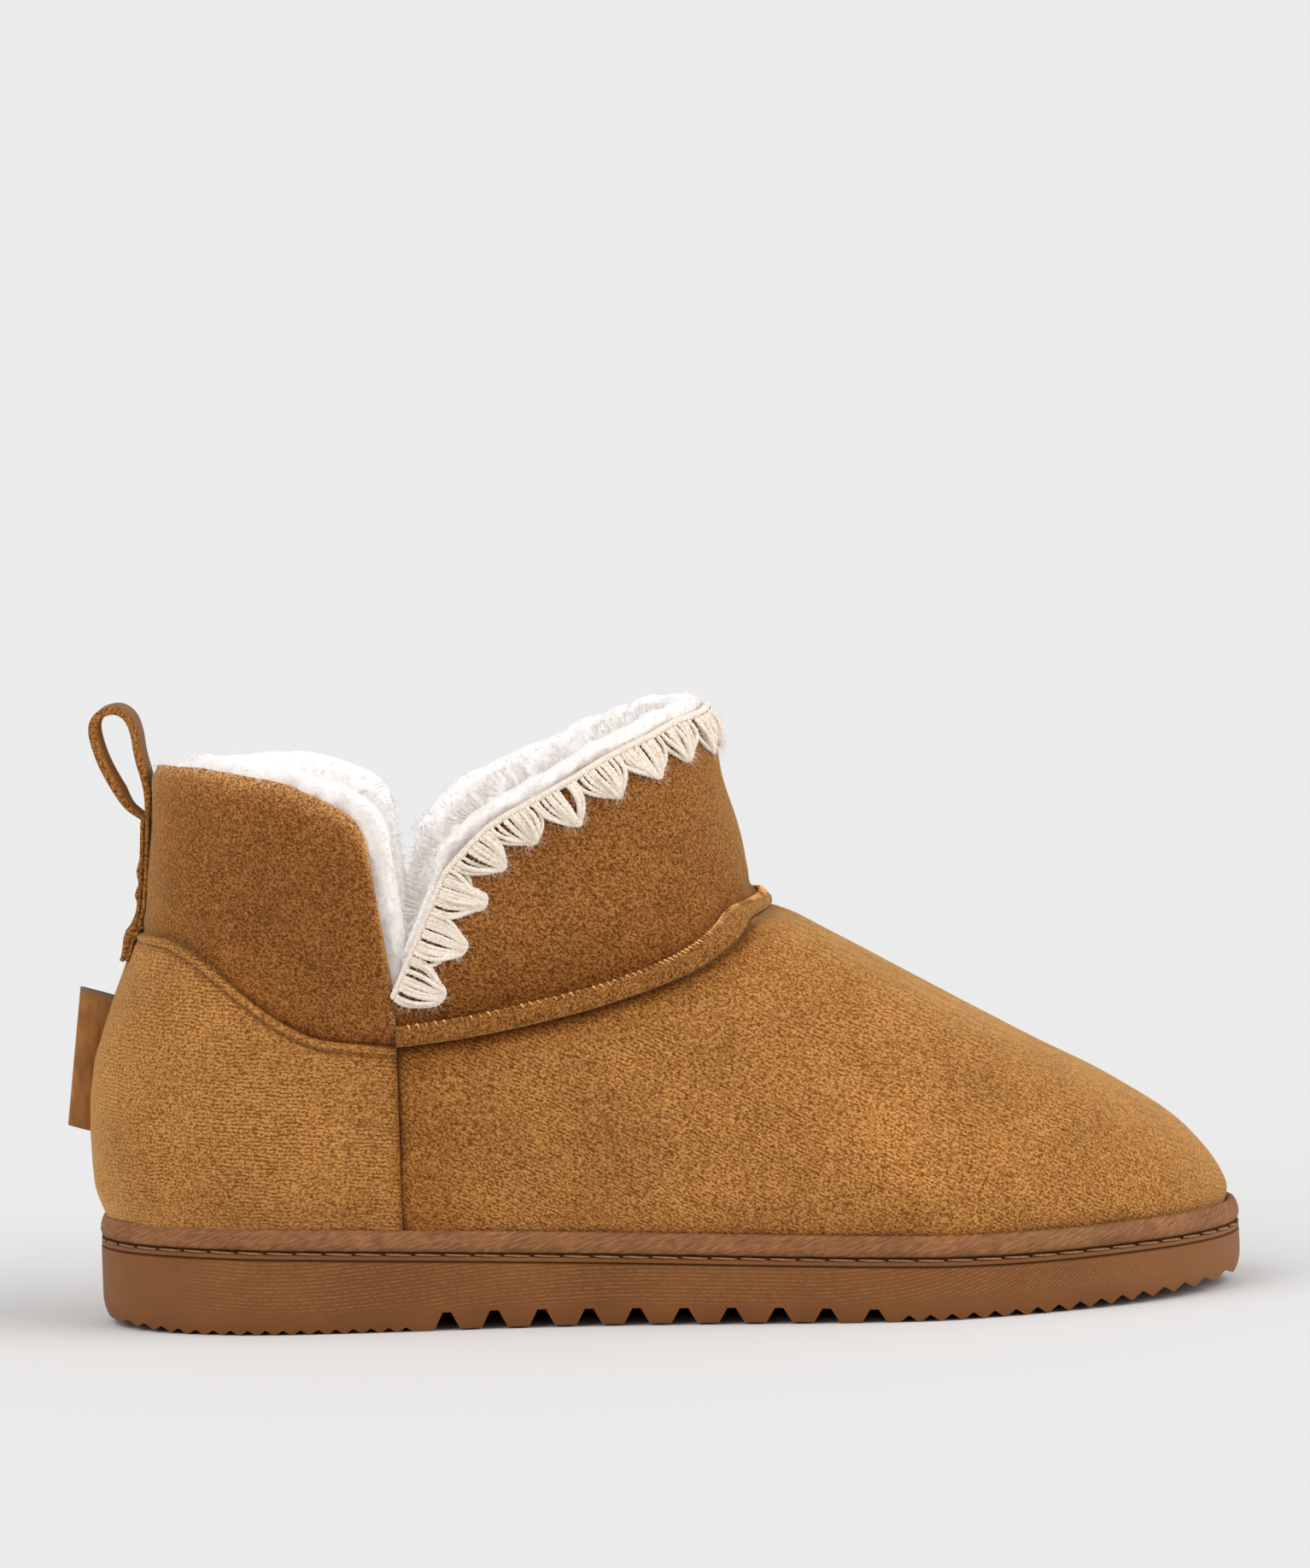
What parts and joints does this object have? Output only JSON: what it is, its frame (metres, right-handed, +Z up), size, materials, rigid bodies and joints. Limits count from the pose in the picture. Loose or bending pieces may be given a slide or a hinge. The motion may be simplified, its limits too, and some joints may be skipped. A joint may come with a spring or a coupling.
{
  "type": "bootie slipper",
  "caption": "Right ankle bootie slipper: soft suede-look upper with side notches, fleece collar, crochet edging, welt and lugged rubber sole.",
  "frame": {"origin": "on the floor, under the middle of the shoe's box", "axes": "+X towards the toe, +Y towards the inner side of the foot, +Z up"},
  "size_m": [0.2744, 0.0968, 0.1455],
  "materials": {
    "sole_rubber": "satin moulded rubber with fine lines",
    "welt": "satin coated strip",
    "suede": "napped suede-look cloth",
    "fleece": "white pile",
    "yarn": "fuzzy plied yarn",
    "ribbon": "woven satin ribbon"
  },
  "bodies": {
    "root": {"outsole": "sole_rubber", "welt": "welt", "upper": "suede", "insole": "fleece", "ankle_roll": "suede", "collar_fleece": "fleece", "crochet_edging": "yarn", "pull_loop": "suede", "heel_tag": "ribbon"}
  },
  "joints": []
}
